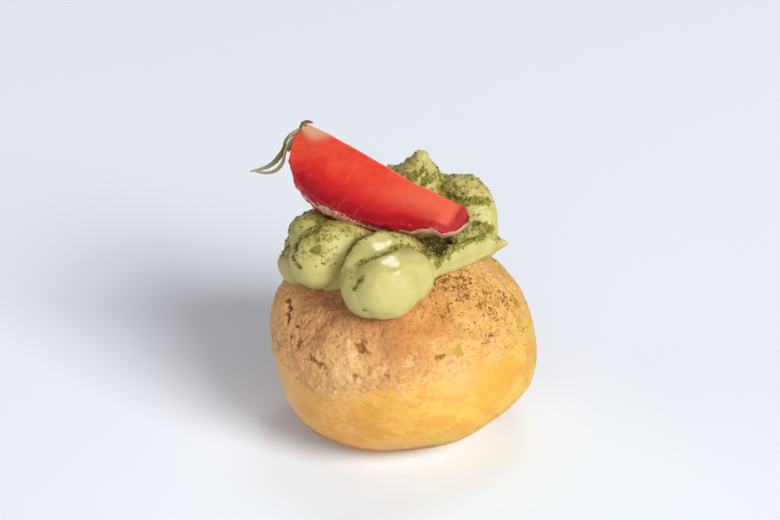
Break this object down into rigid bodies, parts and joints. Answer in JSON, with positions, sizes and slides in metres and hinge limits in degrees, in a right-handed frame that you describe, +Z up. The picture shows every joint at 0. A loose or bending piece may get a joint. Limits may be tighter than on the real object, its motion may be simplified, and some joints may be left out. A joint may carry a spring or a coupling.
{
  "type": "cream puff",
  "caption": "Uncut choux bun with a crackled crust, topped with piped pale green cream and a leaning strawberry wedge.",
  "frame": {"origin": "centre of the bun's flat foot, on the surface it stands on", "axes": "+Z up; the shown side faces -Y; the strawberry's calyx end points to -X"},
  "size_m": [0.0551, 0.0503, 0.0599],
  "materials": {
    "choux_bun": null,
    "piped_cream": null,
    "strawberry_wedge": null,
    "strawberry_calyx": null
  },
  "bodies": {
    "root": {"choux_bun": "choux_bun", "piped_cream": "piped_cream", "strawberry_wedge": "strawberry_wedge", "strawberry_calyx": "strawberry_calyx"}
  },
  "joints": []
}
